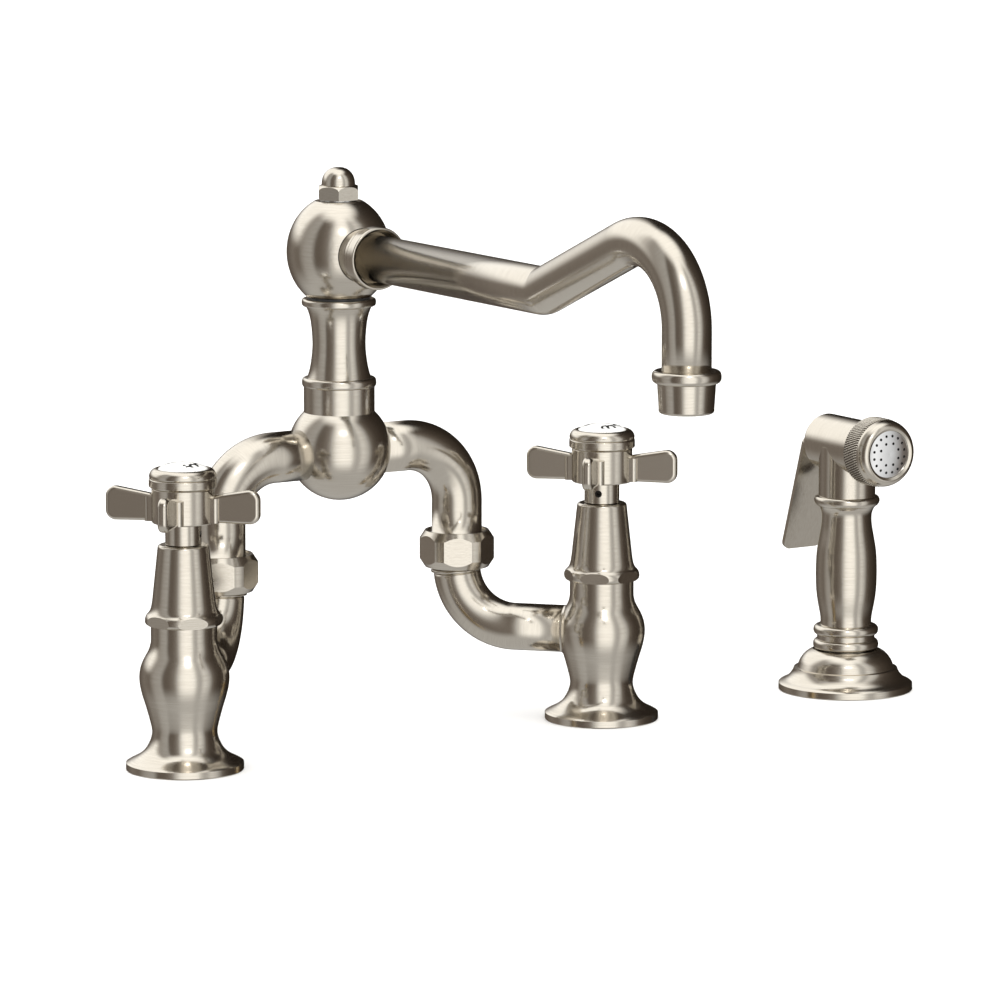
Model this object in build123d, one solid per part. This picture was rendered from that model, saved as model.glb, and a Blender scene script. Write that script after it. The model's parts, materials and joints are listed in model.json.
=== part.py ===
from build123d import *
import math
import os

# Deck-mounted bridge kitchen faucet with a side spray, in millimetres.
# Origin: on the deck, midway between the two valves. +Z is up and -Y is toward the user.

# Layout
VALVE_X = 101.6              # half of the 8 inch valve centres
BRIDGE_X = 58.05             # union nut axis, each side of the column
BRIDGE_Y = 46.2              # the bridge stands this far behind the valves
SPRAY_X = 228.6              # side spray axis, 5 inches outside the cold valve
DECK = 30.0                  # worktop thickness held by the mounting nuts

# Valve
FLANGE_R = 24.1
RIM_H = 3.0
BODY_TOP = 60.0
NECK_R = 13.55
OUTLET_Z = 38.0              # height of the side outlet
ELBOW_R = 10.0               # elbow tube, outside radius
TUBE_WALL = 2.0
OUTLET_BORE = 7.5            # water passage from the valve chamber to the elbow
ELBOW_BEND = 25.4
BOSS_REACH = 23.0            # outlet boss, from the valve axis
SHANK_R = 13.0
INLET_R = 10.45              # 1/2 inch supply thread, outside radius
WATERWAY_R = 6.5
CHAMBER_R = 11.0
CHAMBER_Z = 30.0
BONNET_TOP = 93.0

# Ceramic cartridge and spindle
DISC_R = 8.4
DISC_H = 2.5
SPINDLE_R = 4.9
SPLINE_R = 4.0
RUN = 0.06                   # radial running clearance
GAP = 0.3                    # clearance between faces that pass each other

# Handle
COLLAR_R = 7.4
HUB_R = 12.8
HUB_Z = 102.0
HUB_TOP = 116.6
ARM_TIP = 32.4
ARM_T = 4.2
RING_R = 13.9
BUTTON_R = 10.1
BUTTON_Z = 122.4
SET_SCREW_R = 1.5
SET_SCREW_Z = 97.6

# Union nut
NUT_AF = 29.4
NUT_Z = 63.2
NUT_H = 15.6
NUT_END_R = 13.6
UNION_R = 12.4               # flanges and thread inside the nut

# Bridge and column
ARM_R = 10.65
ARM_Z = 117.0
ARM_BEND = 25.4
BALL_R = 21.65
BALL_Z = 118.3
COLUMN_R = 14.88
SLEEVE_Z = 144.8
SLEEVE_TOP = 182.0
POST_R = 9.0
POST_FOOT = 126.0
SWIVEL_R = 10.0              # post journal that the spout turns on
HUB_BOTTOM = 183.0
SPOUT_HUB_TOP = 223.0
SPOUT_HUB_R = 21.8
SPOUT_HUB_HALF = 24.0
SPOUT_Z = 201.8
STUD_R = 5.0
SPRING_TOP = 163.6           # step in the post's bore above the diverter spring

# Spout
SPOUT_R = 9.675
SPOUT_WALL = 1.6
SPOUT_KNEE_Y = -113.3
SPOUT_TOP_Y = -214.4
SPOUT_TOP_Z = 244.0
KNEE_BEND = 12.0
CROOK_BEND = 31.0
OUTLET_RING_Z = 177.1
OUTLET_RING_TOP = 181.9
OUTLET_RING_R = 13.5
TIP_Z = 165.3

# Side spray
ESCUTCHEON_R = 29.1
HOLDER_R = 14.0
HOLDER_BORE = 11.6
SPRAY_BASE = 18.2
BARREL_Z = 107.1
BARREL_R = 12.1
BARREL_BACK = 16.5
BARREL_FRONT = -17.2
CAVITY_BACK = -4.5           # back wall of the water chamber in the barrel
KNURL_R = 14.9
KNURL_W = 9.2
FACE_R = 10.15
LEVER_PIN = (12.6, 109.5)    # y and z of the lever pin
PIN_L = 17.0                 # it ends inside the barrel's skin
LEVER_TOP = (18.2, 109.4)    # middle of the plate, y and z
LEVER_TIP = (34.6, 57.9)
LEVER_T = 1.9
LEVER_W = 20.0
PLUNGER_Z = 99.6

ROOT2 = math.sqrt(2)


# ---------------------------------------------------------------- outline helpers

def line(*points):
    return ("line", points)


def curve(*points):
    return ("curve", points)


def turned(start, *runs):
    """Solid turned about Z. The outline starts at one (radius, height) point and closes on itself."""
    edges = []
    here = start
    for kind, points in runs:
        chain = [Vector(r, 0, z) for r, z in (here, *points)]
        if kind == "curve":
            edges.append(Edge.make_spline(chain))
        else:
            edges += [Edge.make_line(a, b) for a, b in zip(chain, chain[1:])]
        here = points[-1]
    if here != start:
        edges.append(Edge.make_line(Vector(here[0], 0, here[1]), Vector(start[0], 0, start[1])))
    return revolve(Face(Wire(edges)), axis=Axis.Z)


def rod(radius, bottom, top, x=0.0, y=0.0):
    return Pos(x, y, (bottom + top) / 2) * Cylinder(radius, top - bottom)


def ring(outer, inner, bottom, top, x=0.0, y=0.0):
    return rod(outer, bottom, top, x, y) - rod(inner, bottom - 1, top + 1, x, y)


def rod_along_y(radius, back, front, x=0.0, z=0.0):
    """Round bar along Y, from y=back down to y=front."""
    return Pos(x, (back + front) / 2, z) * Rot(90, 0, 0) * Cylinder(radius, back - front)


def rod_along_x(radius, length, x=0.0, y=0.0, z=0.0):
    return Pos(x, y, z) * Rot(0, 90, 0) * Cylinder(radius, length)


def hexagon(across_flats, bottom, top, turn=0.0):
    flat = RegularPolygon(across_flats / 2, 6, major_radius=False, rotation=turn)
    return Pos(0, 0, bottom) * extrude(flat, top - bottom)


def bent_bar(points, radii, radius):
    """Round bar that follows straight runs joined by tangent arcs."""
    path = FilletPolyline(*points, radius=radii)
    heading = Vector(*points[1]) - Vector(*points[0])
    section = Plane(origin=points[0], z_dir=heading) * Circle(radius)
    return sweep(section, path=path)


def spring(radius, wire, bottom, top, turns):
    path = Helix((top - bottom) / turns, top - bottom, radius)
    section = Plane(origin=path @ 0, z_dir=path % 0) * Circle(wire)
    return Pos(0, 0, bottom) * sweep(section, path=path, is_frenet=True)


def ellipse_points(radius, half_height, centre, bottom, top, count=9):
    """Points on an upright ellipse from one height to another."""
    low = math.asin((bottom - centre) / half_height)
    high = math.asin((top - centre) / half_height)
    angles = [low + (high - low) * i / (count - 1) for i in range(count)]
    return [(radius * math.cos(a), centre + half_height * math.sin(a)) for a in angles]


# ---------------------------------------------------------------- valve, on its own axis

def elbow_heading():
    """Unit direction from the cold valve to its union nut, in plan."""
    run = Vector(BRIDGE_X - VALVE_X, BRIDGE_Y, 0)
    return run.normalized()


def outlet_bar(radius, start, end):
    along = elbow_heading()
    path = Plane(origin=along * start + Vector(0, 0, OUTLET_Z), z_dir=along)
    return extrude(path * Circle(radius), end - start)


def valve_body():
    """Waisted flange, full belly and plain neck, with the side outlet."""
    outer = turned(
        (0, 0),
        line((FLANGE_R - 0.4, 0), (FLANGE_R, 0.4), (FLANGE_R, RIM_H)),
        curve((22.9, 3.75), (20.6, 4.9), (18.2, 6.4), (16.3, 8.2), (14.8, 10.6), (13.75, 13.2), (13.35, 15.8),
              (13.65, 18.2), (14.5, 21.6), (15.9, 26.6), (17.3, 31.2), (18.2, 35.4), (18.4, 38.6),
              (17.7, 43.0), (16.0, 46.8), (14.6, 49.4), (13.8, 51.8), (NECK_R, 54.2)),
        line((NECK_R, BODY_TOP), (0, BODY_TOP)),
    )
    boss = outlet_bar(ELBOW_R, 8, BOSS_REACH)
    joined = outer + boss
    seam = [e for e in joined.edges() if is_boss_seam(e)]
    joined = fillet(seam, 1.8)
    inside = rod(SHANK_R + 0.05, -1, 1.0)
    inside += rod(9.5, 0, 13)
    inside += rod(WATERWAY_R, 12, CHAMBER_Z + 1)
    inside += rod(CHAMBER_R, CHAMBER_Z, BODY_TOP + 1)
    inside += outlet_bar(OUTLET_BORE, 8, BOSS_REACH + 1)
    inside += ring(21.0, 17.0, -1, 1.5)
    return joined - inside


def is_boss_seam(edge):
    """True for the curved seam where the outlet boss leaves the belly."""
    along = elbow_heading()
    spots = [edge @ t for t in (0.1, 0.35, 0.6, 0.85)]
    reach = [p.X * along.X + p.Y * along.Y for p in spots]
    lift = [math.hypot(p.Z - OUTLET_Z, p.X * along.Y - p.Y * along.X) for p in spots]
    on_boss = all(abs(h - ELBOW_R) < 0.05 for h in lift)
    return on_boss and 9 < min(reach) and max(reach) < BOSS_REACH - 0.5


def valve_shank():
    """Threaded stud through the deck with the supply inlet below it."""
    stud = rod(9.5, 0.5, 13) + rod(SHANK_R, -52, 1) + rod(INLET_R, -70, -51)
    stud -= rod(WATERWAY_R, -71, 14)
    return chamfer(stud.edges().group_by(Axis.Z)[0], 0.6)


def bonnet():
    """Hexagonal foot ring, then a long taper with a flat top."""
    outer = turned(
        (0, 60.1),
        line((15.0, 60.1)),
        curve((15.75, 60.8), (16.05, 62.0), (15.75, 63.4), (14.95, 64.5)),
        curve((14.1, 65.5), (13.5, 66.9), (13.1, 68.7), (12.85, 70.5)),
        line((10.55, 91.6)),
        curve((10.2, 92.6), (9.4, BONNET_TOP)),
        line((0, BONNET_TOP)),
    )
    flats = hexagon(29.6, 60.0, 64.6, turn=15)
    foot = outer & flats
    outer = foot + (outer & rod(20, 64.6, 94))
    hollow = rod(12.0, 60, 63.1) + turned((0, 62), line((10.4, 62), (10.4, 70), (8.6, 86), (0, 86)))
    hollow += rod(SPINDLE_R + 0.4, 85, 94)
    return outer - hollow


def cartridge():
    """Fixed brass sleeve round the ceramic discs and the spindle."""
    shell = rod(10.5, 32, 60.1) + rod(11.9, 60.1, 62.6) + rod(7.5, 62, 82)
    shell -= rod(DISC_R + 0.3, 31, 41.4)
    shell -= rod(SPINDLE_R + RUN, 41, 83)
    for angle in (0, 90):
        shell -= Rot(0, 0, angle) * Pos(0, 0, 39.3) * Box(24, 5.5, 3.6)
    return shell


def fixed_disc():
    disc = rod(DISC_R + 0.1, 32, 32 + DISC_H)
    for side in (-1, 1):
        disc -= rod(2.3, 31, 36, x=side * 4.6)
    return disc


def turning_disc():
    bottom = 32 + DISC_H + 0.05
    disc = rod(DISC_R, bottom, bottom + DISC_H)
    for side in (-1, 1):
        disc -= rod(2.3, 31, 40, x=side * 4.6)
    return disc


def seat_seal():
    return ring(8.2, 5.4, CHAMBER_Z, 32)


def spindle():
    """Drives the turning disc and carries the handle on its spline."""
    bottom = 32 + 2 * DISC_H + 0.05
    stem = rod(DISC_R, bottom, 41.1) + rod(SPINDLE_R, 41, 90) + rod(SPLINE_R, 89, 108)
    return stem


def deck_gasket():
    return ring(20.9, 17.1, 0, 1.45)


def deck_washer():
    return ring(22.0, SHANK_R, -DECK - 2.5, -DECK)


def mounting_nut():
    nut = hexagon(36, -DECK - 12.5, -DECK - 2.5) & rod(19.8, -DECK - 12.5, -DECK - 2.5)
    return nut - rod(SHANK_R, -DECK - 13, -DECK)


# ---------------------------------------------------------------- cross handle, on the valve axis

def handle_arm():
    """Flat paddle along +X, a little deeper at its tip than at its root."""
    outline = FilletPolyline(
        (9.0, 0, HUB_Z + 0.5), (ARM_TIP, 0, HUB_Z + 0.2), (ARM_TIP, 0, 117.0), (9.0, 0, 113.0),
        radius=4.2, close=False)
    root = Line(outline @ 1, outline @ 0)
    blade = extrude(Face(Wire([*outline.edges(), root])), ARM_T / 2, dir=(0, 1, 0), both=True)
    long_edges = [e for e in blade.edges() if abs((e @ 0.5).Y) > ARM_T / 2 - 0.01 and (e @ 0.5).X > 10]
    blade = fillet(long_edges, 1.5)
    block = Pos(12.8, 0, 107.6) * Box(5.6, 7.4, 10.0)
    block = fillet(block.edges().filter_by(Axis.Z), 1.6)
    return blade + block


def handle():
    hub = rod(HUB_R, HUB_Z, HUB_TOP)
    hub = fillet(hub.edges().group_by(Axis.Z)[0] + hub.edges().group_by(Axis.Z)[-1], 0.8)
    body = hub + rod(COLLAR_R, BONNET_TOP + GAP, HUB_Z + 1)
    for step in range(4):
        body += Rot(0, 0, 45 + 90 * step) * handle_arm()
    body -= rod(SPLINE_R, BONNET_TOP - 1, 108)
    body -= rod(9.0, HUB_TOP - 3.0, HUB_TOP + 1)
    return body - set_screw_bar(SET_SCREW_R, SPLINE_R - 0.5, COLLAR_R + 1)


def set_screw_bar(radius, start, end):
    """Bar at the set screw, which faces the user and the column."""
    along = Vector(-1 / ROOT2, -1 / ROOT2, 0)
    place = Plane(origin=along * start + Vector(0, 0, SET_SCREW_Z), z_dir=along)
    return extrude(place * Circle(radius), end - start)


def set_screw():
    screw = set_screw_bar(SET_SCREW_R, SPLINE_R, COLLAR_R - 0.5)
    return screw - set_screw_bar(0.8, COLLAR_R - 2, COLLAR_R)


def index_ring():
    """Banded ring on the hub, with a seat for the button."""
    return turned(
        (0, HUB_TOP - 3.0),
        line((8.9, HUB_TOP - 3.0), (8.9, HUB_TOP + 0.1), (13.5, HUB_TOP + 0.1)),
        line((RING_R, HUB_TOP + 0.5), (RING_R, 119.7)),
        curve((13.75, 120.1), (13.35, 120.3)),
        curve((13.7, 120.8), (13.65, 121.9), (12.85, 123.3), (11.5, 124.2), (BUTTON_R + 0.15, 124.2)),
        line((BUTTON_R + 0.15, BUTTON_Z), (0, BUTTON_Z)),
    )


def index_button():
    return turned(
        (0, BUTTON_Z),
        line((BUTTON_R, BUTTON_Z), (BUTTON_R, 124.0)),
        curve((9.5, 124.7), (6.9, 125.8), (3.6, 126.6), (0, 126.9)),
    )


# ---------------------------------------------------------------- elbow, union and bridge arm (cold side)

def elbow():
    """Runs back and inward from the valve, then turns up into the union nut."""
    along = elbow_heading()
    reach = math.hypot(VALVE_X - BRIDGE_X, BRIDGE_Y)
    start = Vector(VALVE_X, 0, OUTLET_Z) + along * BOSS_REACH
    corner = Vector(VALVE_X, 0, OUTLET_Z) + along * reach
    top = corner + Vector(0, 0, NUT_Z + 3.0 - OUTLET_Z)
    points = [tuple(start), tuple(corner), tuple(top)]
    tube = bent_bar(points, ELBOW_BEND, ELBOW_R)
    flange = rod(UNION_R, NUT_Z + 3.0, NUT_Z + 5.5, BRIDGE_X, BRIDGE_Y)
    bore = bent_bar(points, ELBOW_BEND, ELBOW_R - TUBE_WALL)
    return tube + flange - bore - rod(ELBOW_R - TUBE_WALL, NUT_Z + 2, NUT_Z + 6, BRIDGE_X, BRIDGE_Y)


def union_gasket():
    return ring(UNION_R, ELBOW_R - TUBE_WALL, NUT_Z + 5.5, NUT_Z + 7.5, BRIDGE_X, BRIDGE_Y)


def union_nut():
    """Hexagon nut with generous chamfers on both ends, flats across X."""
    top = NUT_Z + NUT_H
    crown = turned(
        (0, NUT_Z),
        line((NUT_END_R, NUT_Z), (15.85, NUT_Z + 3.5), (15.85, top - 3.5), (NUT_END_R, top), (0, top)),
    )
    nut = hexagon(NUT_AF, NUT_Z, top, turn=30) & crown
    nut -= rod(ELBOW_R + 0.1, NUT_Z - 1, NUT_Z + 4)
    nut -= rod(UNION_R + 0.05, NUT_Z + 3.0, top + 1)
    return Pos(BRIDGE_X, BRIDGE_Y, 0) * nut


def bridge_arm():
    """Leaves the ball level, turns down and ends in the union thread."""
    points = [(13.0, BRIDGE_Y, ARM_Z), (BRIDGE_X, BRIDGE_Y, ARM_Z), (BRIDGE_X, BRIDGE_Y, NUT_Z + 7.5)]
    tube = bent_bar(points, ARM_BEND, ARM_R)
    thread = rod(UNION_R, NUT_Z + 7.5, NUT_Z + NUT_H - 0.6, BRIDGE_X, BRIDGE_Y)
    return tube + thread - bent_bar(points, ARM_BEND, ARM_R - TUBE_WALL)


# ---------------------------------------------------------------- column, on its own axis

def bridge_ball():
    """Ball that joins both arms, with the plain neck above it."""
    ball = Pos(0, 0, BALL_Z) * Sphere(BALL_R) + rod(COLUMN_R, BALL_Z, SLEEVE_Z)
    ball -= rod_along_x(ARM_R, 60, x=13 + 30, z=ARM_Z)
    ball -= rod_along_x(ARM_R, 60, x=-13 - 30, z=ARM_Z)
    ball -= rod_along_x(ARM_R - TUBE_WALL, 40, z=ARM_Z)
    ball -= rod(ARM_R - TUBE_WALL, ARM_Z, POST_FOOT + 1)
    return ball - rod(POST_R, POST_FOOT, SLEEVE_Z + 1)


def column_sleeve():
    """Waisted sleeve between two beads."""
    return turned(
        (POST_R, SLEEVE_Z),
        line((14.9, SLEEVE_Z)),
        curve((15.5, 145.5), (15.6, 146.7), (15.4, 147.9), (14.5, 148.6)),
        line((13.4, 148.7)),
        curve((12.4, 152.0), (11.7, 156.0), (11.25, 160.0), (11.15, 163.5), (11.35, 167.5), (11.8, 171.8),
              (12.55, 175.4), (13.9, 178.7)),
        line((14.6, 178.8)),
        curve((15.45, 179.4), (15.6, 180.4), (15.45, 181.4), (14.6, SLEEVE_TOP)),
        line((POST_R, SLEEVE_TOP)),
    )


def spout_post():
    """Fixed hollow post: the spout turns on it between two seals. Its bore steps in above the spring."""
    top = SPOUT_HUB_TOP - 4.3
    post = rod(POST_R, POST_FOOT, SLEEVE_TOP + 0.1) + rod(SWIVEL_R, SLEEVE_TOP, top) + rod(STUD_R, top, 232)
    post -= rod(6.0, POST_FOOT - 1, SPRING_TOP)
    post -= rod(3.6, POST_FOOT - 1, 213.5)
    for angle in (0, 90):
        post -= Rot(0, 0, angle) * rod_along_x(4.5, 40, z=SPOUT_Z)
    for height in (187.5, 215.0):
        post -= ring(SWIVEL_R + 1, SWIVEL_R - 1.9, height - 1.1, height + 1.1)
    return post


def post_orings():
    seals = [Pos(0, 0, height) * Torus(SWIVEL_R - 1.0, 0.9) for height in (187.5, 215.0)]
    return Compound(children=seals)


def thrust_washer():
    return ring(13.0, SWIVEL_R, SLEEVE_TOP, HUB_BOTTOM - 0.1)


def diverter_piston():
    piston = rod(5.9, 140, 147) + rod(2.0, 147, 151)
    return piston


def diverter_spring():
    return spring(4.4, 0.5, 147.6, SPRING_TOP - 0.6, 6)


def spout_hub():
    """Swivel ball of the spout, slightly taller than round, flat at both ends."""
    side = ellipse_points(SPOUT_HUB_R, SPOUT_HUB_HALF, 201.6, HUB_BOTTOM, SPOUT_HUB_TOP)
    hub = turned((0, HUB_BOTTOM), line(side[0]), curve(*side[1:]), line((0, SPOUT_HUB_TOP)))
    hub -= rod(SWIVEL_R + RUN, HUB_BOTTOM - 1, SPOUT_HUB_TOP - 4)
    hub -= rod(STUD_R + 0.2, SPOUT_HUB_TOP - 5, SPOUT_HUB_TOP + 1)
    hub -= rod(13.0, SPOUT_Z - 7, SPOUT_Z + 7)
    return hub - rod_along_y(SPOUT_R, -8, -40, z=SPOUT_Z) - rod_along_y(11.4, -16.6, -40, z=SPOUT_Z)


def cap_washer():
    return ring(7.7, STUD_R, SPOUT_HUB_TOP + 0.1, SPOUT_HUB_TOP + 0.6)


def cap_nut():
    """Small hexagon with a domed crown."""
    base = SPOUT_HUB_TOP + 0.6
    hexed = hexagon(16.3, base, 229.6)
    crown = turned((0, base), line((9.5, base), (9.5, 227.4)), curve((8.6, 228.9), (7.0, 229.6)), line((0, 229.6)))
    dome = turned((0, 229), line((7.0, 229)), curve((6.95, 231.0), (6.1, 233.8), (3.9, 236.1), (0, 236.9)))
    return (hexed & crown) + dome - rod(STUD_R, base - 1, 232)


# ---------------------------------------------------------------- spout, along -Y from the column axis

def along_spout(shape):
    """Turns a shape made about +Z so that its +Z points along -Y, at the spout's height."""
    return Pos(0, 0, SPOUT_Z) * Rot(90, 0, 0) * shape


def spout_collar():
    """Narrow neck and a cupped ring that the tube comes out of; z here is the reach from the column."""
    cup = turned(
        (SPOUT_R, 16.8),
        line((11.2, 16.8), (11.2, 22.6)),
        curve((11.5, 23.6), (12.2, 24.6), (12.4, 25.6)),
        line((12.4, 27.2)),
        curve((12.9, 27.6), (13.1, 28.6)),
        line((13.1, 32.2)),
        curve((12.9, 32.8), (12.3, 33.0)),
        line((11.5, 32.6), (11.0, 29.4), (SPOUT_R, 28.8)),
    )
    return along_spout(cup)


def spout_path():
    column = BRIDGE_Y
    return [(0, -13.2, SPOUT_Z), (0, SPOUT_KNEE_Y - column, SPOUT_Z),
            (0, SPOUT_TOP_Y - column, SPOUT_TOP_Z), (0, SPOUT_TOP_Y - column, 170.0)]


def spout_tube():
    """Level run, a knee, a rising run and a crook that ends straight down."""
    points = spout_path()
    radii = [KNEE_BEND, CROOK_BEND]
    return bent_bar(points, radii, SPOUT_R) - bent_bar(points, radii, SPOUT_R - SPOUT_WALL)


def outlet_ring():
    """Rounded bead round the spout's end."""
    middle = (OUTLET_RING_Z + OUTLET_RING_TOP) / 2
    return turned(
        (SPOUT_R, OUTLET_RING_Z),
        line((12.2, OUTLET_RING_Z)),
        curve((13.1, OUTLET_RING_Z + 0.7), (OUTLET_RING_R, middle), (13.1, OUTLET_RING_TOP - 0.7),
              (12.2, OUTLET_RING_TOP)),
        line((SPOUT_R, OUTLET_RING_TOP)),
    )


def aerator_housing():
    """Slightly tapered sleeve below the bead."""
    return turned(
        (SPOUT_R, OUTLET_RING_Z),
        line((11.4, OUTLET_RING_Z), (10.75, 167.0)),
        curve((10.5, 165.7), (9.8, TIP_Z)),
        line((8.6, TIP_Z), (8.6, 169.9), (SPOUT_R, 169.9)),
    )


def aerator_screen():
    """Perforated disc of the aerator, one ring of holes inside another."""
    screen = rod(8.55, 166.3, 169.8)
    for count, radius in ((12, 6.4), (6, 3.2)):
        for step in range(count):
            angle = 2 * math.pi * step / count
            screen -= rod(0.6, 166, 170, radius * math.cos(angle), radius * math.sin(angle))
    return screen


# ---------------------------------------------------------------- side spray, on its own axis

def spray_escutcheon():
    """Flared foot, a ledge and a dome, bored for the spray."""
    return turned(
        (HOLDER_R, 0),
        line((28.7, 0), (ESCUTCHEON_R, 0.4), (ESCUTCHEON_R, 3.0)),
        curve((28.3, 3.6), (26.4, 4.5), (24.3, 6.3), (23.0, 8.2), (22.5, 9.6)),
        line((21.0, 9.9)),
        curve((20.6, 11.0), (19.9, 12.8), (18.7, 14.6), (17.0, 16.3), (15.2, 17.4), (14.3, 17.8)),
        line((HOLDER_BORE, 17.8), (HOLDER_BORE, 9.0), (HOLDER_R, 9.0)),
    )


def holder_shank():
    """Threaded liner of the holder, down through the deck."""
    return ring(HOLDER_R, HOLDER_BORE, -48, 8.9)


def holder_nut():
    nut = hexagon(38, -DECK - 10, -DECK) & rod(20.6, -DECK - 10, -DECK)
    return nut - rod(HOLDER_R, -DECK - 11, -DECK + 1)


def hose_coupling():
    """Nut that joins the spray to its hose, hidden in the holder."""
    nut = hexagon(15.0, -16, -6) & rod(8.3, -16, -6)
    tail = rod(6.3, -26, -16)
    return nut + tail - rod(5.0 + RUN, -12, -5) - rod(3.5, -27, -5)


def spray_handle():
    """Baluster handle with two foot beads, a top bead and a stem in the holder."""
    body = turned(
        (4.0, -12.0),
        line((5.0, -12.0), (5.0, -5.8), (10.6, -5.8), (10.9, -5.0), (11.2, SPRAY_BASE - 0.2), (13.2, SPRAY_BASE)),
        curve((14.0, 18.9), (14.2, 20.2), (13.9, 21.4), (12.9, 22.2)),
        line((12.5, 22.3), (12.5, 24.4)),
        curve((13.5, 24.8), (14.1, 26.2), (13.8, 27.6), (12.2, 28.6)),
        line((11.1, 28.8)),
        curve((11.1, 31.5), (11.7, 35.4), (12.5, 39.6), (13.05, 44.5), (13.25, 51.0), (13.15, 57.0),
              (12.75, 62.0), (11.9, 67.0), (11.1, 71.5), (10.75, 75.5), (11.3, 79.0), (12.6, 81.0)),
        curve((13.9, 82.2), (14.2, 83.4), (13.7, 84.8), (12.35, 85.3)),
        line((8.0, 85.3), (8.0, 30.0), (4.0, 26.0)),
    )
    return body


def spray_head():
    """Level barrel on a short upright neck, slotted at the back for the lever."""
    barrel = rod_along_y(BARREL_R, BARREL_BACK, BARREL_FRONT, z=BARREL_Z)
    barrel = fillet(barrel.edges().sort_by(Axis.Y)[-1], 1.5)
    head = barrel + rod(12.3, 85.3, BARREL_Z)
    head -= rod(7.0, 84, 96)
    head -= rod_along_y(9.0, CAVITY_BACK, BARREL_FRONT - 1, z=BARREL_Z)
    head -= rod(3.0, 95, 104, y=-8.5)
    head -= Pos(0, 14.5, 109.4) * Box(9.4, 13.0, 11.6)
    head -= rod_along_y(2.5 + RUN, 18, 7.9, z=PLUNGER_Z)
    head -= rod_along_y(4.3, 8, -3, z=PLUNGER_Z)
    return head - rod_along_x(1.5, PIN_L, y=LEVER_PIN[0], z=LEVER_PIN[1])


def lever_pin():
    return rod_along_x(1.5, PIN_L, y=LEVER_PIN[0], z=LEVER_PIN[1])


def spray_lever():
    """Thin paddle behind the handle, hung from a knuckle in the head."""
    run = Vector(0, LEVER_TIP[0] - LEVER_TOP[0], LEVER_TIP[1] - LEVER_TOP[1])
    length = run.length
    sheet = RectangleRounded(LEVER_W, length, 3.4)
    middle = Vector(0, (LEVER_TIP[0] + LEVER_TOP[0]) / 2, (LEVER_TIP[1] + LEVER_TOP[1]) / 2)
    place = Plane(origin=middle, x_dir=(1, 0, 0), z_dir=run.cross(Vector(1, 0, 0)))
    plate = extrude(place * sheet, LEVER_T / 2, both=True)
    tongue = Pos(0, 15.4, 109.5) * Box(8.6, 5.4, 4.4)
    knuckle = rod_along_x(3.1, 8.6, y=LEVER_PIN[0], z=LEVER_PIN[1])
    hole = rod_along_x(1.5 + RUN, 12, y=LEVER_PIN[0], z=LEVER_PIN[1])
    return plate + tongue + knuckle - hole


def lever_plunger():
    """Pin that the lever pushes, with a collar that holds it in."""
    pin = rod_along_y(2.5, 19.5, 5.0, z=PLUNGER_Z)
    return pin + rod_along_y(4.1, 7.5, 6.0, z=PLUNGER_Z) + rod_along_y(1.6, 6.0, 1.4, z=PLUNGER_Z)


def plunger_spring():
    coil = spring(3.3, 0.4, 0, 4.6, 4)
    return Pos(0, 2.4, PLUNGER_Z) * Rot(90, 0, 0) * coil


def knurled_ring():
    return along_barrel(ring(KNURL_R, BARREL_R + 0.05, 0, KNURL_W))


def spray_bezel():
    """Convex ring that holds the spray face."""
    shell = turned(
        (FACE_R + 0.1, 0.1),
        line((14.3, 0.1)),
        curve((14.45, 1.0), (14.0, 2.9), (12.7, 4.8), (11.3, 5.4)),
        line((FACE_R + 0.1, 4.9)),
    )
    return along_barrel(Pos(0, 0, KNURL_W) * shell)


def spray_face():
    """Disc with an outer and an inner ring of jets."""
    disc = turned((0, 0), line((FACE_R, 0), (FACE_R, 4.4)), curve((6.0, 4.9), (0, 5.1)))
    for count, radius in ((16, 8.0), (8, 4.9)):
        for step in range(count):
            angle = 2 * math.pi * (step + 0.5) / count
            disc -= rod(0.6, -1, 6, radius * math.cos(angle), radius * math.sin(angle))
    return along_barrel(Pos(0, 0, KNURL_W) * disc)


def along_barrel(shape):
    """Turns a shape made about +Z so that it continues the barrel's front end."""
    return Pos(0, BARREL_FRONT, BARREL_Z) * Rot(90, 0, 0) * shape


# ---------------------------------------------------------------- placing and writing

def at_valve(shape):
    return Pos(VALVE_X, 0, 0) * shape


def at_column(shape):
    return Pos(0, BRIDGE_Y, 0) * shape


def at_outlet(shape):
    return Pos(0, SPOUT_TOP_Y, 0) * shape


def at_spray(shape):
    return Pos(SPRAY_X, 0, 0) * shape


def hot(shape):
    """The hot side is the mirror image of the cold side."""
    return mirror(shape, about=Plane.YZ)


def pair(shape):
    """Identical fixed pieces of both sides, kept as separate solids in one node."""
    return Compound(children=[shape, hot(shape)])


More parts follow.
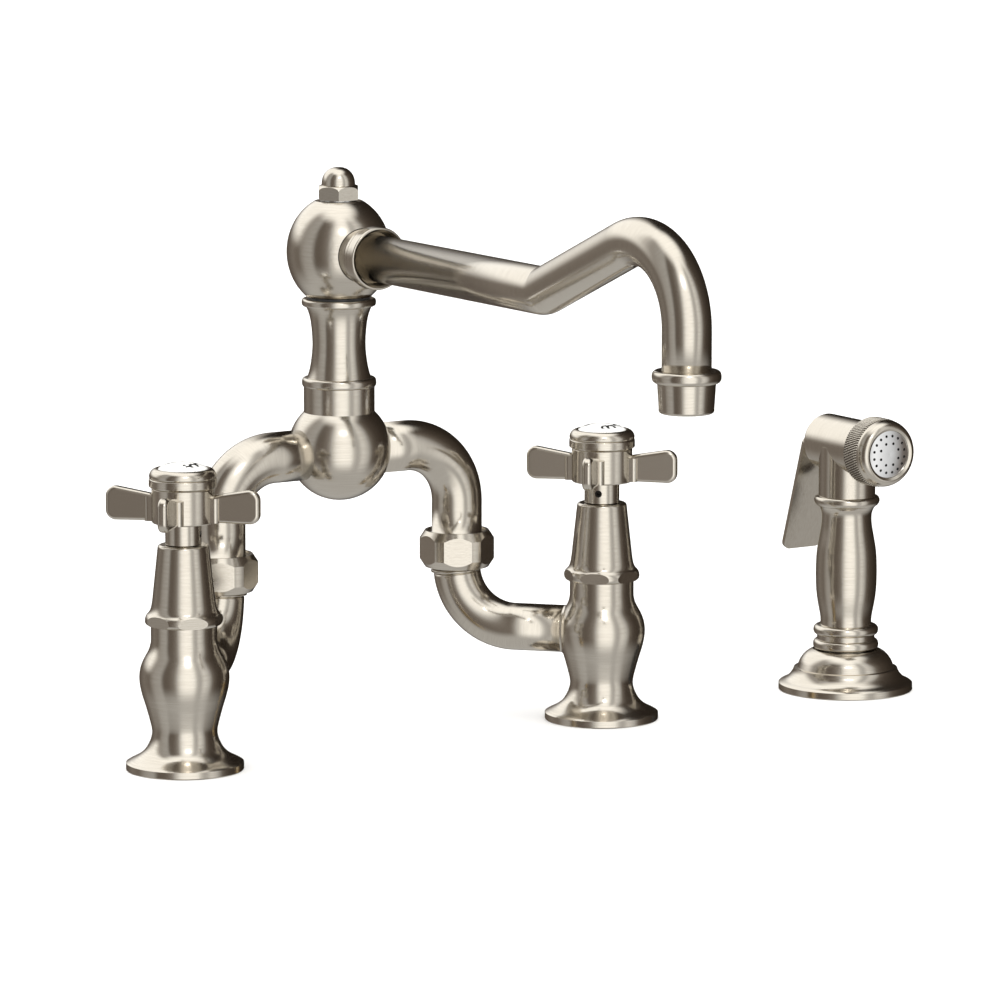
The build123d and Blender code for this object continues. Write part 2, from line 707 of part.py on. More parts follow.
def nodes():
    parts = {}
    sided = {
        "valve_body": at_valve(valve_body()),
        "valve_shank": at_valve(valve_shank()),
        "bonnet": at_valve(bonnet()),
        "cartridge": at_valve(cartridge()),
        "spindle": at_valve(spindle()),
        "turning_disc": at_valve(turning_disc()),
        "handle": at_valve(handle()),
        "index_ring": at_valve(index_ring()),
        "index_button": at_valve(index_button()),
        "set_screw": at_valve(set_screw()),
        "elbow": elbow(),
        "union_nut": union_nut(),
        "bridge_arm": bridge_arm(),
    }
    for name, shape in sided.items():
        parts["cold_" + name] = shape
        parts["hot_" + name] = hot(shape)
    parts["fixed_discs"] = pair(at_valve(fixed_disc()))
    parts["seat_seals"] = pair(at_valve(seat_seal()))
    parts["deck_gaskets"] = pair(at_valve(deck_gasket()))
    parts["deck_washers"] = pair(at_valve(deck_washer()))
    parts["mounting_nuts"] = pair(at_valve(mounting_nut()))
    parts["union_gaskets"] = pair(union_gasket())
    column = {
        "bridge_ball": bridge_ball(),
        "column_sleeve": column_sleeve(),
        "spout_post": spout_post(),
        "post_orings": post_orings(),
        "thrust_washer": thrust_washer(),
        "diverter_piston": diverter_piston(),
        "diverter_spring": diverter_spring(),
        "spout_hub": spout_hub(),
        "cap_washer": cap_washer(),
        "cap_nut": cap_nut(),
        "spout_collar": spout_collar(),
        "spout_tube": spout_tube(),
    }
    for name, shape in column.items():
        parts[name] = at_column(shape)
    parts["outlet_ring"] = at_outlet(outlet_ring())
    parts["aerator_housing"] = at_outlet(aerator_housing())
    parts["aerator_screen"] = at_outlet(aerator_screen())
    spray = {
        "spray_escutcheon": spray_escutcheon(),
        "spray_holder_shank": holder_shank(),
        "spray_holder_nut": holder_nut(),
        "spray_hose_coupling": hose_coupling(),
        "spray_handle": spray_handle(),
        "spray_head": spray_head(),
        "spray_lever": spray_lever(),
        "spray_lever_pin": lever_pin(),
        "spray_plunger": lever_plunger(),
        "spray_plunger_spring": plunger_spring(),
        "spray_knurled_ring": knurled_ring(),
        "spray_bezel": spray_bezel(),
        "spray_face": spray_face(),
    }
    for name, shape in spray.items():
        parts[name] = at_spray(shape)
    return parts


os.makedirs("parts", exist_ok=True)
for node, solid in nodes().items():
    export_step(solid, f"parts/{node}.step")
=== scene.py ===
import json
import math

import bpy
from mathutils import Matrix, Vector


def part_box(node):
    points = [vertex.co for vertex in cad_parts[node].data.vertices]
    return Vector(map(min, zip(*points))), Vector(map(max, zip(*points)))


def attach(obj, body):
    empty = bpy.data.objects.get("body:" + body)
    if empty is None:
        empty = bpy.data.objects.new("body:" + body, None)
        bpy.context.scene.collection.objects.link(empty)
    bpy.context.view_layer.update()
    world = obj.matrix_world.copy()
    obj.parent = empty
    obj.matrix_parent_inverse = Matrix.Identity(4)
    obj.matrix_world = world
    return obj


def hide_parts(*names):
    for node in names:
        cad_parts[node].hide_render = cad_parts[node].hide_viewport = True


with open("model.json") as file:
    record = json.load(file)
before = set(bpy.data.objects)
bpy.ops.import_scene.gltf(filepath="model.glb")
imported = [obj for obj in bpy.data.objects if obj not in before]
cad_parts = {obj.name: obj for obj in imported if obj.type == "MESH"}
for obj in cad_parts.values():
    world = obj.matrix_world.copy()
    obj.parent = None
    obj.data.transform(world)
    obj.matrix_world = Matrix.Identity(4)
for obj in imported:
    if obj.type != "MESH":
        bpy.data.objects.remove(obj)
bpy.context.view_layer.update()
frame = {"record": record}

MM = 0.001

# ---------------------------------------------------------------- places, read from the frame


def middle(node):
    low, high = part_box(node)
    return (Vector(low) + Vector(high)) / 2


HOT = middle("hot_bonnet")
COLD = middle("cold_bonnet")
COLUMN = middle("column_sleeve")
SPRAY = middle("spray_escutcheon")
OUTLET = middle("outlet_ring")

# ---------------------------------------------------------------- camera

CAMERA_AT = Vector((-1.366, -2.241, 0.520))
CAMERA_FORWARD = Vector((0.5277, 0.8348, -0.1571)).normalized()
CAMERA_LENS_MM = 230.8
SENSOR_MM = 36.0


def add_camera():
    data = bpy.data.cameras.new("camera")
    data.lens = CAMERA_LENS_MM
    data.sensor_width = SENSOR_MM
    data.clip_end = 100.0
    camera = bpy.data.objects.new("camera", data)
    camera.location = CAMERA_AT
    camera.rotation_euler = CAMERA_FORWARD.to_track_quat("-Z", "Y").to_euler()
    bpy.context.scene.collection.objects.link(camera)
    bpy.context.scene.camera = camera


# ---------------------------------------------------------------- node helpers


class Shader:
    """A material's node tree, with short calls for the nodes used here."""

    def __init__(self, name):
        self.material = bpy.data.materials.new(name)
        self.material.use_nodes = True
        self.tree = self.material.node_tree
        self.surface = self.tree.nodes["Principled BSDF"]

    def node(self, kind, **settings):
        made = self.tree.nodes.new(kind)
        for key, value in settings.items():
            setattr(made, key, value)
        return made

    def link(self, source, target):
        self.tree.links.new(source, target)

    def feed(self, socket, value):
        if isinstance(value, bpy.types.NodeSocket):
            self.link(value, socket)
        else:
            socket.default_value = value

    def math(self, operation, a, b=0.0):
        made = self.node("ShaderNodeMath", operation=operation)
        self.feed(made.inputs[0], a)
        self.feed(made.inputs[1], b)
        return made.outputs[0]

    def vector(self, x, y, z):
        made = self.node("ShaderNodeCombineXYZ")
        for socket, value in zip(made.inputs, (x, y, z)):
            self.feed(socket, value)
        return made.outputs[0]

    def split(self, source):
        made = self.node("ShaderNodeSeparateXYZ")
        self.link(source, made.inputs[0])
        return made.outputs

    def noise(self, at, scale, detail=3.0):
        made = self.node("ShaderNodeTexNoise")
        self.link(at, made.inputs["Vector"])
        made.inputs["Scale"].default_value = scale
        made.inputs["Detail"].default_value = detail
        return made.outputs[0]

    def remap(self, value, low, high):
        made = self.node("ShaderNodeMapRange")
        self.link(value, made.inputs["Value"])
        made.inputs["From Min"].default_value = 0.3
        made.inputs["From Max"].default_value = 0.7
        made.inputs["To Min"].default_value = low
        made.inputs["To Max"].default_value = high
        return made.outputs[0]

    def blend(self, amount, first, second):
        made = self.node("ShaderNodeMix", data_type="RGBA")
        self.feed(made.inputs["Factor"], amount)
        self.feed(made.inputs["A"], (*first, 1.0))
        self.feed(made.inputs["B"], (*second, 1.0))
        return made.outputs["Result"]

    def bump(self, height, strength, distance):
        made = self.node("ShaderNodeBump")
        made.inputs["Strength"].default_value = strength
        made.inputs["Distance"].default_value = distance
        self.link(height, made.inputs["Height"])
        self.link(made.outputs[0], self.surface.inputs["Normal"])

    def set(self, **values):
        for key, value in values.items():
            self.feed(self.surface.inputs[key.replace("_", " ")], value)


HAIRLINES = 2600.0           # brushing on turned pieces and tubes, per metre across the lines
TURNED_STRETCH = 1.6         # how fast it changes along the lines, per radian
TUBE_STRETCH = 9.0           # and per turn of a tube
PADDLE_HAIRLINES = 1500.0
PADDLE_STRETCH = 60.0
NICKEL_LIGHT = (0.665, 0.625, 0.555)
NICKEL_DARK = (0.605, 0.560, 0.490)


def nickel_finish(shader, grain, along):
    """Satin plate: hairlines from the grain coordinates, soft cloudiness from the plain ones."""
    lines = shader.noise(grain, 1.0, 2.0)
    cloud = shader.noise(along, 25.0, 2.0)
    both = shader.math("ADD", shader.math("MULTIPLY", lines, 0.8), shader.math("MULTIPLY", cloud, 0.2))
    colour = shader.blend(shader.remap(both, 0.0, 1.0), NICKEL_DARK, NICKEL_LIGHT)
    shader.set(Base_Color=colour, Metallic=1.0, Roughness=shader.remap(lines, 0.21, 0.15), Anisotropic=0.3)
    shader.bump(lines, 0.035, 0.00003)


def turned_nickel(name, centre, level=False):
    """Satin nickel brushed round an axis: upright through centre, or level along Y."""
    shader = Shader(name)
    place = shader.node("ShaderNodeTexCoord").outputs["Object"]
    shift = shader.node("ShaderNodeVectorMath", operation="SUBTRACT")
    shader.link(place, shift.inputs[0])
    shift.inputs[1].default_value = centre
    x, y, z = shader.split(shift.outputs[0])
    side, up, height = (x, z, y) if level else (x, y, z)
    angle = shader.math("ARCTAN2", up, side)
    radius = shader.math("SQRT", shader.math("ADD", shader.math("MULTIPLY", side, side),
                                             shader.math("MULTIPLY", up, up)))
    grain = shader.vector(shader.math("MULTIPLY", angle, TURNED_STRETCH),
                          shader.math("MULTIPLY", height, HAIRLINES),
                          shader.math("MULTIPLY", radius, HAIRLINES))
    nickel_finish(shader, grain, place)
    minus_up = shader.math("MULTIPLY", up, -1.0)
    around = shader.vector(minus_up, 0.0, side) if level else shader.vector(minus_up, side, 0.0)
    turn = shader.node("ShaderNodeVectorTransform", vector_type="VECTOR", convert_from="OBJECT",
                       convert_to="WORLD")
    shader.link(around, turn.inputs[0])
    unit = shader.node("ShaderNodeVectorMath", operation="NORMALIZE")
    shader.link(turn.outputs[0], unit.inputs[0])
    shader.link(unit.outputs[0], shader.surface.inputs["Tangent"])
    return shader.material


def flat_nickel(name):
    """Satin nickel on flat paddles, brushed upright."""
    shader = Shader(name)
    place = shader.node("ShaderNodeTexCoord").outputs["Object"]
    x, y, z = shader.split(place)
    grain = shader.vector(shader.math("MULTIPLY", x, PADDLE_HAIRLINES),
                          shader.math("MULTIPLY", y, PADDLE_HAIRLINES),
                          shader.math("MULTIPLY", z, PADDLE_STRETCH))
    nickel_finish(shader, grain, place)
    return shader.material


def tube_nickel(name):
    """Satin nickel on a bent tube: UV runs round the tube, then along it in metres."""
    shader = Shader(name)
    coordinates = shader.node("ShaderNodeTexCoord")
    u, v = shader.split(coordinates.outputs["UV"])[:2]
    grain = shader.vector(shader.math("MULTIPLY", u, TUBE_STRETCH),
                          shader.math("MULTIPLY", v, HAIRLINES), 0.0)
    nickel_finish(shader, grain, coordinates.outputs["Object"])
    tangent = shader.node("ShaderNodeTangent", direction_type="UV_MAP", uv_map="UVMap")
    shader.link(tangent.outputs[0], shader.surface.inputs["Tangent"])
    return shader.material


def plain(name, light, dark, scale, rough, metallic=0.0, bump=0.1):
    """A cloudy, lightly textured finish between two colours."""
    shader = Shader(name)
    place = shader.node("ShaderNodeTexCoord").outputs["Object"]
    cloud = shader.noise(place, scale, 5.0)
    shader.set(Base_Color=shader.blend(shader.remap(cloud, 0.0, 1.0), dark, light), Metallic=metallic,
               Roughness=shader.remap(cloud, rough + 0.05, rough - 0.05))
    shader.bump(shader.noise(place, scale * 12, 2.0), bump, 0.00005)
    return shader.material


def dress(node, material):
    data = bpy.data.objects[node].data
    data.materials.clear()
    data.materials.append(material)


# ---------------------------------------------------------------- materials on the CAD nodes

def dress_nodes():
    centres = {"hot": turned_nickel("nickel_hot", HOT), "cold": turned_nickel("nickel_cold", COLD)}
    column = turned_nickel("nickel_column", COLUMN)
    spray = turned_nickel("nickel_spray", SPRAY)
    outlet = turned_nickel("nickel_outlet", OUTLET)
    spout = turned_nickel("nickel_spout", middle("spout_collar"), level=True)
    barrel = turned_nickel("nickel_barrel", middle("spray_bezel"), level=True)
    paddles = flat_nickel("nickel_paddles")
    brass = plain("raw_brass", (0.80, 0.62, 0.34), (0.66, 0.48, 0.24), 90.0, 0.32, 1.0)
    steel = plain("bright_steel", (0.66, 0.66, 0.65), (0.54, 0.54, 0.53), 120.0, 0.28, 1.0)
    chrome = plain("chrome", (0.90, 0.91, 0.92), (0.84, 0.85, 0.87), 40.0, 0.10, 1.0, 0.02)
    screws = plain("black_oxide", (0.05, 0.045, 0.04), (0.03, 0.027, 0.025), 200.0, 0.4, 1.0)
    slots = {
        "brass": brass, "steel": steel, "chrome": chrome,
        "alumina": plain("alumina", (0.93, 0.92, 0.89), (0.88, 0.87, 0.84), 200.0, 0.35),
        "porcelain": plain("porcelain", (0.95, 0.95, 0.94), (0.91, 0.91, 0.89), 50.0, 0.14, 0.0, 0.02),
        "rubber": plain("rubber", (0.035, 0.035, 0.035), (0.02, 0.02, 0.02), 300.0, 0.65),
        "black_nylon": plain("black_nylon", (0.06, 0.06, 0.06), (0.035, 0.035, 0.035), 300.0, 0.5),
        "grey_plastic": plain("grey_plastic", (0.35, 0.35, 0.36), (0.27, 0.27, 0.28), 300.0, 0.45),
    }
    own = {"spout_collar": spout, "spray_bezel": barrel, "spray_knurled_ring": barrel, "spray_head": barrel,
           "spray_lever": paddles, "outlet_ring": outlet, "aerator_housing": outlet,
           "hot_set_screw": screws, "cold_set_screw": screws,
           "hot_union_nut": turned_nickel("nickel_hot_union", middle("hot_union_nut")),
           "cold_union_nut": turned_nickel("nickel_cold_union", middle("cold_union_nut"))}
    for entry in frame["record"]["subparts"]:
        node = entry["node"]
        slot = entry["material_slot"]
        family = node.split("_")[0]
        if node in own:
            finish = own[node]
        elif slot in slots:
            finish = slots[slot]
        elif family in centres:
            finish = centres[family]
        elif family == "spray":
            finish = spray
        else:
            finish = column
        dress(node, finish)


# ---------------------------------------------------------------- mesh helpers

ROUND = 96                   # facets round a turned piece or a tube


def add_mesh(name, verts, faces, material, body, node, uvs=None):
    """Links a smooth mesh that rides on a body and stands for a CAD node."""
    data = bpy.data.meshes.new(name)
    data.from_pydata([tuple(v) for v in verts], [], faces)
    if uvs:
        layer = data.uv_layers.new(name="UVMap")
        for loop, uv in zip(layer.data, uvs):
            loop.uv = uv
    data.materials.append(material)
    data.shade_smooth()
    piece = bpy.data.objects.new(name, data)
    bpy.context.scene.collection.objects.link(piece)
    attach(piece, body)
    if node:
        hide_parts(node)
    return piece


def rounded_path(points, bends):
    """Places along straight runs joined by tangent arcs, each with its heading."""
    places = [(Vector(points[0]), (Vector(points[1]) - Vector(points[0])).normalized())]
    for before, corner, after, bend in zip(points, points[1:], points[2:], bends):
        arrive = (Vector(corner) - Vector(before)).normalized()
        leave = (Vector(after) - Vector(corner)).normalized()
        turn = arrive.angle(leave)
        start = Vector(corner) - arrive * bend * math.tan(turn / 2)
        inward = (leave - arrive * arrive.dot(leave)).normalized()
        centre = start + inward * bend
        steps = max(8, round(math.degrees(turn) / 3))
        for step in range(steps + 1):
            angle = turn * step / steps
            spoke = -inward * math.cos(angle) + arrive * math.sin(angle)
            heading = arrive * math.cos(angle) + inward * math.sin(angle)
            places.append((centre + spoke * bend, heading))
    places.append((Vector(points[-1]), places[-1][1]))
    return places


def swell(lip, back):
    """Growth of a tube's radius at a length back from its end, from a falling list of (length, growth)."""
    for (far, far_growth), (near, near_growth) in zip(lip, lip[1:]):
        if near <= back <= far:
            return far_growth + (near_growth - far_growth) * (far - back) / (far - near)
    return 0.0


def add_tube(name, points, bends, radius, across, material, body, lip=()):
    """Bent tube in one plane; across is that plane's normal. lip swells it: (length from the end, growth)."""
    corners = rounded_path(points, bends)
    marks = [0.0]
    for (here, _), (there, _) in zip(corners, corners[1:]):
        marks.append(marks[-1] + (there - here).length)
    run = sorted(set(marks) | {marks[-1] - back for back, _ in lip})
    verts, faces, uvs = [], [], []
    segment = 0
    for distance in run:
        while segment < len(marks) - 2 and distance > marks[segment + 1]:
            segment += 1
        share = (distance - marks[segment]) / (marks[segment + 1] - marks[segment])
        place = corners[segment][0].lerp(corners[segment + 1][0], share)
        ahead = corners[segment][1].lerp(corners[segment + 1][1], share)
        side = across.cross(ahead).normalized()
        reach = radius + swell(lip, marks[-1] - distance)
        for step in range(ROUND):
            angle = 2 * math.pi * step / ROUND
            verts.append(place + (across * math.cos(angle) + side * math.sin(angle)) * reach)
    for row in range(len(run) - 1):
        for step in range(ROUND):
            a = row * ROUND + step
            b = row * ROUND + (step + 1) % ROUND
            faces.append((a, b, b + ROUND, a + ROUND))
            u, v = step / ROUND, (step + 1) / ROUND
            uvs += [(u, run[row]), (v, run[row]), (v, run[row + 1]), (u, run[row + 1])]
    last = (len(run) - 1) * ROUND
    for cap, length in ((list(range(ROUND))[::-1], 0.0), ([last + step for step in range(ROUND)], run[-1])):
        faces.append(tuple(cap))
        uvs += [(step / ROUND, length) for step in range(ROUND)]
    return add_mesh(name, verts, faces, material, body, name.replace("_look", ""), uvs)


# ---------------------------------------------------------------- tubes

ELBOW_R = 10.03 * MM
ARM_R = 10.65 * MM
BEND_R = 25.4 * MM
OUTLET_HEIGHT = 38.0 * MM
ELBOW_START = 16.0 * MM       # inside the valve's belly, measured from its axis
INTO_NUT = 3.0 * MM           # how far the elbow enters the union nut
ARM_START = 12.5 * MM         # inside the bridge ball, measured from its axis
KNEE = (-113.3 * MM, 12.0 * MM)      # where the spout's level run ends, and its bend radius
CROOK = (244.0 * MM, 31.0 * MM)      # height of the crook's corner, and its bend radius
# Ring under the union nut with a groove on each side: (millimetres back from the tube's end, growth)
LIP_PROFILE = ((5.5, 0.0), (5.35, -0.35), (5.15, -0.35), (5.0, 0.3), (4.8, 0.9), (4.4, 1.15), (4.0, 0.9),
               (3.8, 0.3), (3.65, -0.6), (3.1, -0.6), (2.9, 0.0))
LIP = tuple((back * MM, growth * MM) for back, growth in LIP_PROFILE)

THREAD = ((7.2 * MM, 0.0), (7.19 * MM, 1.7 * MM), (0.01 * MM, 1.7 * MM))      # inside the union nut


def add_tubes():
    nickel = tube_nickel("nickel_tubes")
    for side, valve in (("hot", HOT), ("cold", COLD)):
        nut = middle(side + "_union_nut")
        low = Vector(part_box(side + "_union_nut")[0]).z
        start = Vector((valve.x, valve.y, OUTLET_HEIGHT))
        corner = Vector((nut.x, nut.y, OUTLET_HEIGHT))
        along = (corner - start).normalized()
        across = along.cross(Vector((0, 0, 1)))
        top = Vector((nut.x, nut.y, low + INTO_NUT))
        add_tube(side + "_elbow_look", [start + along * ELBOW_START, corner, top], [BEND_R], ELBOW_R, across,
                 nickel, "faucet", LIP)
        sign = 1 if nut.x > 0 else -1
        level = Vector(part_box(side + "_bridge_arm")[1]).z - ARM_R
        points = [Vector((sign * ARM_START, nut.y, level)), Vector((nut.x, nut.y, level)), nut]
        add_tube(side + "_bridge_arm_look", points, [BEND_R], ARM_R, Vector((0, 1, 0)), nickel, "faucet",
                 THREAD)
    level = middle("spout_collar").z
    back = Vector(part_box("spout_tube")[1]).y
    points = [Vector((0, back, level)), Vector((0, KNEE[0], level)), Vector((0, OUTLET.y, CROOK[0])),
              Vector((0, OUTLET.y, Vector(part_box("spout_tube")[0]).z))]
    radius = (Vector(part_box("spout_tube")[1]).x - Vector(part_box("spout_tube")[0]).x) / 2
    add_tube("spout_tube_look", points, [KNEE[1], CROOK[1]], radius, Vector((1, 0, 0)), nickel, "spout")


# ---------------------------------------------------------------- knurled ring of the spray

KNURLS = 84
KNURL_DEPTH = 0.75 * MM
KNURL_SLANT = 3.2            # ridges passed from one edge of the ring to the other
KNURL_STEPS = 6              # points round the ring for each ridge
KNURL_ROWS = 12              # rows of points across the ring
RING_WALL = 2.7 * MM
RING_CHAMFER = 0.7 * MM
GROOVE_EDGE = (0.17, 0.40)   # where a ridge turns into a groove, in shares of their spacing; the painted groove shade fades in over this span
# near-black brown painted into the knurl grooves as shade
KNURL_GROOVE_SHADE = (0.09, 0.07, 0.05)


def knurl_nickel():
    """Bright ridges and grooves darkened with painted shade: UV counts the ridges round the ring."""
    shader = Shader("nickel_knurls")
    coordinates = shader.node("ShaderNodeTexCoord")
    u = shader.split(coordinates.outputs["UV"])[0]
    off_ridge = shader.math("ABSOLUTE", shader.math("SUBTRACT", shader.math("FRACT", u), 0.5))
    cloud = shader.noise(coordinates.outputs["Object"], 400.0)
    uneven = shader.math("ADD", off_ridge, shader.math("MULTIPLY", cloud, 0.06))
    # groove is the mask of the painted shade: 1 deep in the grooves, 0 on the ridges
    groove = slope(shader, uneven, *GROOVE_EDGE)
    shader.set(Base_Color=shader.blend(groove, NICKEL_LIGHT, KNURL_GROOVE_SHADE), Metallic=1.0,
               Roughness=shader.remap(cloud, 0.30, 0.20))
    return shader.material


def add_knurled_ring():
    low, high = (Vector(corner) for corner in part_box("spray_knurled_ring"))
    centre = (low + high) / 2
    outer = (high.x - low.x) / 2
    inner = outer - RING_WALL
    steps = KNURLS * KNURL_STEPS
    rings = [(high.y, inner, 0.0), (high.y, outer - RING_CHAMFER, 0.0)]
    for row in range(KNURL_ROWS + 1):
        share = row / KNURL_ROWS
        edge = min(share, 1 - share)
        rings.append((high.y + (low.y - high.y) * (0.04 + 0.92 * share), outer, min(1.0, edge * 12 + 0.15)))
    rings += [(low.y, outer - RING_CHAMFER, 0.0), (low.y, inner, 0.0)]
    verts, faces, uvs = [], [], []
    for y, radius, cut in rings:
        share = (high.y - y) / (high.y - low.y)
        for step in range(steps):
            phase = (step / KNURL_STEPS + share * KNURL_SLANT) % 1.0
            groove = abs(phase * 2 - 1) ** 1.5
            reach = radius - KNURL_DEPTH * groove * (cut > 0) - 0.25 * MM * (1 - cut) * (cut > 0)
            angle = 2 * math.pi * step / steps
            verts.append(Vector((centre.x + reach * math.cos(angle), y, centre.z + reach * math.sin(angle))))
    for row in range(len(rings)):
        for step in range(steps):
            a = row * steps + step
            b = row * steps + (step + 1) % steps
            shift = steps if row < len(rings) - 1 else steps - len(rings) * steps
            faces.append((a, b, b + shift, a + shift))
            shares = [(high.y - rings[place][0]) / (high.y - low.y)
                      for place in (row, (row + 1) % len(rings))]
            uvs += [((step + ahead) / KNURL_STEPS + shares[far] * KNURL_SLANT, shares[far])
                    for ahead, far in ((0, 0), (1, 0), (1, 1), (0, 1))]
    ring = add_mesh("knurled_ring_look", verts, faces, knurl_nickel(), "spray_handset",
                    "spray_knurled_ring", uvs)


# ---------------------------------------------------------------- words on the index buttons

WORDS = {"hot": "HOT", "cold": "COLD"}
LETTER_HEIGHT = 3.8 * MM
LETTER_RING = 6.9 * MM       # radius that the letters stand on
LETTER_SPREAD = 24.0         # degrees from one letter to the next
LETTER_WEIGHT = 0.07         # how much the outline is thickened, in letter heights
FONT_SIZE = 1.4              # type size of a letter one unit high
WORD_PLACES = (("far", 104.0), ("near", -76.0))     # middle of each word, in degrees
DOME_DROP = 2.36 * MM        # from the middle of a button's dome to its edge
INK_RISE = 0.06 * MM


def dome_height(side, reach):
    """Height of the button's domed face at a distance from its middle."""
    low, high = (Vector(corner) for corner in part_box(side + "_index_button"))
    edge = (high.x - low.x) / 2
    return high.z - DOME_DROP * min(1.0, reach / edge) ** 2


def add_words():
    ink = plain("black_ink", (0.02, 0.02, 0.02), (0.01, 0.01, 0.01), 400.0, 0.35)
    for side, centre in (("hot", HOT), ("cold", COLD)):
        for place, start in WORD_PLACES:
            word = WORDS[side]
            for index, letter in enumerate(word):
                spread = LETTER_SPREAD * (index - (len(word) - 1) / 2)
                angle = math.radians(start - spread if place == "far" else start + spread)
                name = f"{side}_{place}_letter_{index}"
                add_letter(name, letter, side, centre, angle, place == "near", ink)


def add_letter(name, letter, side, centre, angle, upright, ink):
    """One letter on the dome, turned to face the rim or the middle. Only its outline follows the dome."""
    curve = bpy.data.curves.new(name + "_outline", "FONT")
    curve.body = letter
    curve.size = LETTER_HEIGHT * FONT_SIZE
    curve.offset = LETTER_HEIGHT * LETTER_WEIGHT
    curve.align_x = "CENTER"
    curve.align_y = "CENTER"
    flat = bpy.data.objects.new(name + "_outline", curve)
    bpy.context.scene.collection.objects.link(flat)
    bpy.context.view_layer.update()
    data = bpy.data.meshes.new_from_object(flat.evaluated_get(bpy.context.evaluated_depsgraph_get()))
    bpy.data.objects.remove(flat)
    turn = angle + (math.pi / 2 if upright else -math.pi / 2)
    spin = Matrix.Rotation(turn, 3, "Z")
    middle_at = Vector((math.cos(angle), math.sin(angle), 0)) * LETTER_RING
    for vertex in data.vertices:
        spot = middle_at + spin @ Vector((vertex.co.x, vertex.co.y, 0))
        rise = dome_height(side, spot.length) + INK_RISE
        vertex.co = Vector((centre.x + spot.x, centre.y + spot.y, rise))
    data.materials.clear()
    data.materials.append(ink)
    piece = bpy.data.objects.new(name, data)
    bpy.context.scene.collection.objects.link(piece)
    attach(piece, side + "_handle")


# ---------------------------------------------------------------- floor and light

def add_floor():
    bpy.ops.mesh.primitive_plane_add(size=40.0, location=(0, 0, 0))
    floor = bpy.context.object
    floor.name = "floor"
    shader = Shader("pale_floor")
    place = shader.node("ShaderNodeTexCoord").outputs["Object"]
    cloud = shader.noise(place, 3.0)
    shader.set(Base_Color=shader.blend(cloud, (0.90, 0.90, 0.90), (0.93, 0.93, 0.93)), Roughness=0.9)
    floor.data.materials.append(shader.material)
    floor.visible_glossy = False


# The studio round the object: (turn from the camera in degrees, positive to its right, brightness)
STUDIO = [(-180, 0.10), (-150, 0.14), (-123, 0.26), (-100, 0.20), (-84, 0.44), (-62, 0.52), (-54, 0.14),
          (-40, 0.16), (-24, 0.26), (-15, 0.75), (-6, 1.35), (8, 1.50), (26, 1.45), (35, 0.64), (44, 0.50),
          (54, 1.00), (68, 0.66), (79, 0.16), (96, 0.08), (130, 0.04), (165, 0.02)]
OVERHEAD = 1.55
BEHIND = 1.45
UNDERNEATH = 0.58
BEHIND_SIDES = ((0.09, 0.16), (0.36, 0.28))   # soft edges of the panel behind, as shares of a turn
BEHIND_RISE = (0.0, 0.35)                     # soft edges of the panels by height of direction
OVERHEAD_RISE = (0.80, 0.98)
UNDERNEATH_DROP = (0.30, 0.80)
SHADE_TINT = Vector((1.0, 0.70, 0.48))        # of the darkest parts of the studio
LIGHT_TINT = Vector((1.0, 0.99, 0.965))       # of the brightest parts


def studio_colour(brightness):
    """Brown in the shade, neutral in the light."""
    share = min(1.0, brightness / 0.55) ** 0.6
    return (*(SHADE_TINT.lerp(LIGHT_TINT, share) * brightness), 1.0)


def slope(shader, value, start, end):
    """Smooth step of a value from start to end."""
    step = shader.node("ShaderNodeMapRange", interpolation_type="SMOOTHSTEP")
    shader.link(value, step.inputs["Value"])
    step.inputs["From Min"].default_value = start
    step.inputs["From Max"].default_value = end
    return step.outputs[0]


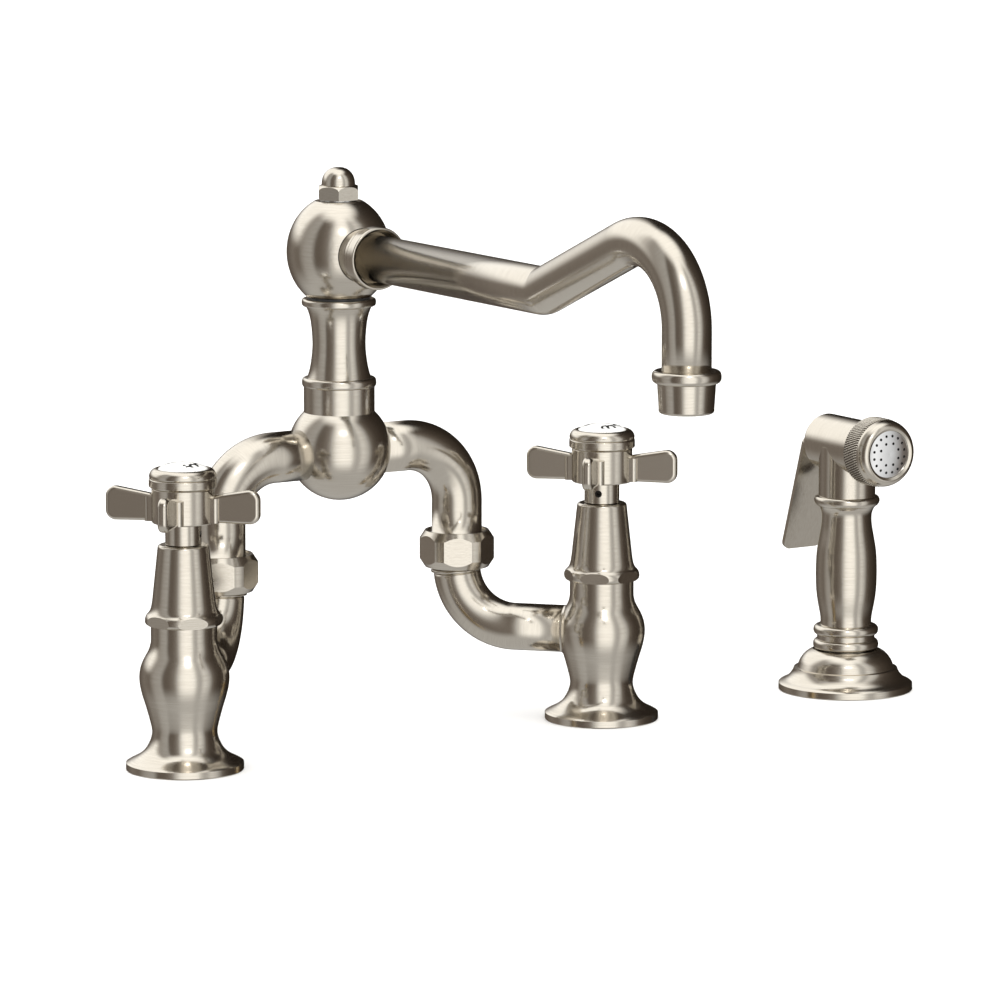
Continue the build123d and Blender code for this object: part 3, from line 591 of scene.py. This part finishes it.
def add_studio():
    world = bpy.data.worlds.new("studio")
    bpy.context.scene.world = world
    world.use_nodes = True
    shader = Shader.__new__(Shader)
    shader.tree = world.node_tree
    background = world.node_tree.nodes["Background"]
    x, y, z = shader.split(shader.node("ShaderNodeTexCoord").outputs["Generated"])
    toward = math.atan2(CAMERA_AT.x, CAMERA_AT.y)
    turn = shader.math("SUBTRACT", toward, shader.math("ARCTAN2", x, y))
    share = shader.math("FRACT", shader.math("ADD", shader.math("DIVIDE", turn, 2 * math.pi), 1.5))
    ramp = shader.node("ShaderNodeValToRGB")
    shader.link(share, ramp.inputs[0])
    stops = ramp.color_ramp.elements
    stops.remove(stops[-1])
    for index, (degrees, brightness) in enumerate(STUDIO):
        place = (degrees + 180) / 360
        stop = stops[0] if index == 0 else stops.new(place)
        stop.position = place
        stop.color = studio_colour(brightness)
    around = shader.math("FRACT", shader.math("ADD", share, 0.1))
    left, right = (slope(shader, around, *edges) for edges in BEHIND_SIDES)
    behind = shader.math("MULTIPLY", left, right)
    minus_z = shader.math("MULTIPLY", z, -1.0)
    panels = ((BEHIND, shader.math("MULTIPLY", behind, slope(shader, z, *BEHIND_RISE))),
              (OVERHEAD, slope(shader, z, *OVERHEAD_RISE)),
              (UNDERNEATH, slope(shader, minus_z, *UNDERNEATH_DROP)))
    result = ramp.outputs[0]
    for brightness, amount in panels:
        mix = shader.node("ShaderNodeMix", data_type="RGBA")
        shader.link(amount, mix.inputs["Factor"])
        shader.link(result, mix.inputs["A"])
        mix.inputs["B"].default_value = studio_colour(brightness)
        result = mix.outputs["Result"]
    shader.link(result, background.inputs["Color"])


SUN_STRENGTH = 2.6
SUN_SPREAD = 2.4             # radians: a very wide, soft source
KEY_AT = (-0.6, -1.6, 1.7)
KEY_SIZE = 0.25
KEY_WATTS = 3.0
LAMP_AIM = Vector((0.05, 0.0, 0.12))


def add_sun(strength):
    """Broad, even light from above: it brightens the floor and leaves no hard shadow."""
    data = bpy.data.lights.new("sun", "SUN")
    data.energy = strength
    data.angle = SUN_SPREAD
    sun = bpy.data.objects.new("sun", data)
    sun.visible_glossy = False
    bpy.context.scene.collection.objects.link(sun)


def add_lamp(name, at, size, watts):
    data = bpy.data.lights.new(name, "AREA")
    data.energy = watts
    data.size = size
    lamp = bpy.data.objects.new(name, data)
    lamp.location = at
    aim = LAMP_AIM - Vector(at)
    lamp.rotation_euler = aim.to_track_quat("-Z", "Y").to_euler()
    bpy.context.scene.collection.objects.link(lamp)


def main():
    add_camera()
    dress_nodes()
    add_tubes()
    add_knurled_ring()
    add_words()
    add_floor()
    add_studio()
    add_lamp("key", KEY_AT, KEY_SIZE, KEY_WATTS)
    add_sun(SUN_STRENGTH)
    bpy.context.scene.view_settings.view_transform = "Standard"


main()
